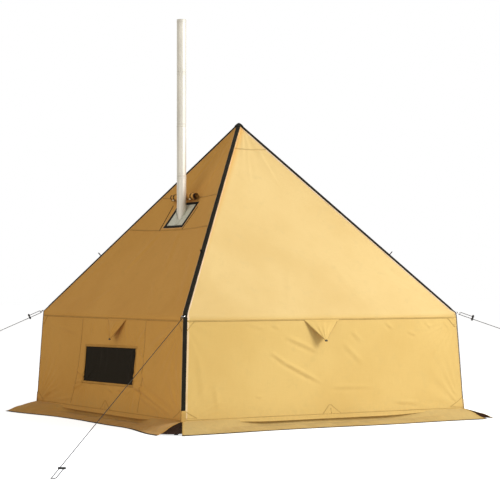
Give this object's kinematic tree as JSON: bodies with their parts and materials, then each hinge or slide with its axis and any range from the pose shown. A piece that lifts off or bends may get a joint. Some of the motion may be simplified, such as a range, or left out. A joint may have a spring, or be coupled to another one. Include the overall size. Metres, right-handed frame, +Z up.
{
  "type": "hot tent",
  "caption": "Square pyramid tent on low walls, with a stove pipe through its roof, a snow skirt, guy ropes, a window and a fold-up door over a small stove.",
  "frame": {"origin": "on the ground under the middle of the tent's walls", "axes": "+Z up the poles; -X is the side with the window and the pipe, +X the side with the door, -Y the plain side that is lit in the picture"},
  "size_m": [6.2526, 5.5947, 3.367],
  "materials": {
    "canvas": "matt woven",
    "webbing": "woven tape",
    "net": "fine net",
    "glass_cloth": "coated glass cloth",
    "pipe_steel": "rolled sheet",
    "stove_steel": "heat-proof black",
    "ring_steel": "plated",
    "aluminium": "satin",
    "rubber": "matt",
    "plastic": "moulded",
    "rope": "braided"
  },
  "bodies": {
    "tent": {"roof_front": "canvas", "roof_window": "canvas", "roof_back": "canvas", "roof_door": "canvas", "wall_front": "canvas", "wall_window": "canvas", "wall_back": "canvas", "wall_door_left": "canvas", "wall_door_right": "canvas", "skirt_front": "canvas", "skirt_window": "canvas", "skirt_back": "canvas", "skirt_door": "canvas", "window_binding": "canvas", "jack_cover_roll": "canvas", "strap_near": "webbing", "strap_left": "webbing", "strap_far": "webbing", "strap_right": "webbing", "peak_cap": "webbing", "jack_border": "webbing", "window_net": "net", "stove_jack": "glass_cloth", "pipe_section_1": "pipe_steel", "pipe_section_2": "pipe_steel", "pipe_section_3": "pipe_steel", "pipe_section_4": "pipe_steel", "pipe_section_5": "pipe_steel", "pipe_section_6": "pipe_steel", "stove_body": "stove_steel", "stove_legs": "stove_steel", "ring_near": "ring_steel", "ring_left": "ring_steel", "ring_right": "ring_steel", "pole_lower": "aluminium", "pole_upper": "aluminium", "corner_pole_near": "aluminium", "corner_pole_left": "aluminium", "corner_pole_far": "aluminium", "corner_pole_right": "aluminium", "pole_foot": "rubber", "guy_rope_near": "rope", "guy_rope_left": "rope", "guy_rope_right": "rope"},
    "flap_front": {"tie_out_flap_front": "canvas"},
    "flap_window": {"tie_out_flap_window": "canvas"},
    "flap_back": {"tie_out_flap_back": "canvas"},
    "door_top_half": {"door_upper": "canvas"},
    "door_bottom_half": {"door_lower": "canvas"},
    "zip_left": {"zip_slider_left": "ring_steel"},
    "zip_right": {"zip_slider_right": "ring_steel"},
    "slider_near": {"rope_slider_near": "plastic"},
    "slider_left": {"rope_slider_left": "plastic"},
    "slider_right": {"rope_slider_right": "plastic"},
    "firebox_door": {"stove_door": "stove_steel"},
    "firebox_latch": {"stove_latch": "stove_steel"},
    "air_vent": {"stove_vent": "pipe_steel"},
    "damper": {"pipe_damper": "stove_steel"},
    "loose_ring": {"ring_far": "ring_steel"}
  },
  "joints": [
    {"name": "flap_front_swing", "type": "hinge", "parent": "tent", "child": "flap_front", "pos_m": [-0.05, -1.30277, 0.847], "axis": [-1, 0, 0], "range_deg": [-18, 60]},
    {"name": "flap_window_swing", "type": "hinge", "parent": "tent", "child": "flap_window", "pos_m": [-1.30277, -0.17, 0.847], "axis": [0, 1, 0], "range_deg": [-18, 60]},
    {"name": "flap_back_swing", "type": "hinge", "parent": "tent", "child": "flap_back", "pos_m": [0, 1.30277, 0.847], "axis": [1, 0, 0], "range_deg": [-18, 60]},
    {"name": "door_lift", "type": "hinge", "parent": "tent", "child": "door_top_half", "pos_m": [0.63765, 0, 1.7], "axis": [0, -1, 0], "range_deg": [0, 80]},
    {"name": "door_fold", "type": "hinge", "parent": "door_top_half", "child": "door_bottom_half", "pos_m": [1.30232, 0, 0.84975], "axis": [0, -1, 0], "range_deg": [0, 95]},
    {"name": "zip_left_run", "type": "slide", "parent": "tent", "child": "zip_left", "axis": [-0.0548, 0, 0.9985], "range_m": [0, 0.68]},
    {"name": "zip_right_run", "type": "slide", "parent": "tent", "child": "zip_right", "axis": [-0.0548, 0, 0.9985], "range_m": [0, 0.68]},
    {"name": "slider_near_run", "type": "slide", "parent": "tent", "child": "slider_near", "axis": [0.6548, 0.7072, 0.2667], "range_m": [0, 0.4]},
    {"name": "slider_left_run", "type": "slide", "parent": "tent", "child": "slider_left", "axis": [-0.868, 0.2899, -0.4031], "range_m": [0, 0.4]},
    {"name": "slider_right_run", "type": "slide", "parent": "tent", "child": "slider_right", "axis": [0.5034, -0.809, -0.3036], "range_m": [0, 0.4]},
    {"name": "stove_door_swing", "type": "hinge", "parent": "tent", "child": "firebox_door", "pos_m": [-0.2794, -0.1335, 0.44], "axis": [0, 0, -1], "range_deg": [0, 120]},
    {"name": "stove_latch_turn", "type": "hinge", "parent": "firebox_door", "child": "firebox_latch", "pos_m": [-0.2797, 0.072, 0.44], "axis": [1, 0, 0], "range_deg": [0, 90]},
    {"name": "stove_vent_run", "type": "slide", "parent": "firebox_door", "child": "air_vent", "axis": [0, 1, 0], "range_m": [0, 0.05]},
    {"name": "damper_turn", "type": "hinge", "parent": "tent", "child": "damper", "pos_m": [-0.625, -0.023, 0.96], "axis": [0, 1, 0], "range_deg": [0, 90]},
    {"name": "loose_ring_swing", "type": "hinge", "parent": "tent", "child": "loose_ring", "pos_m": [1.30849, 1.30849, 0.892], "axis": [0.7071, -0.7071, 0], "range_deg": [-8, 110]}
  ]
}
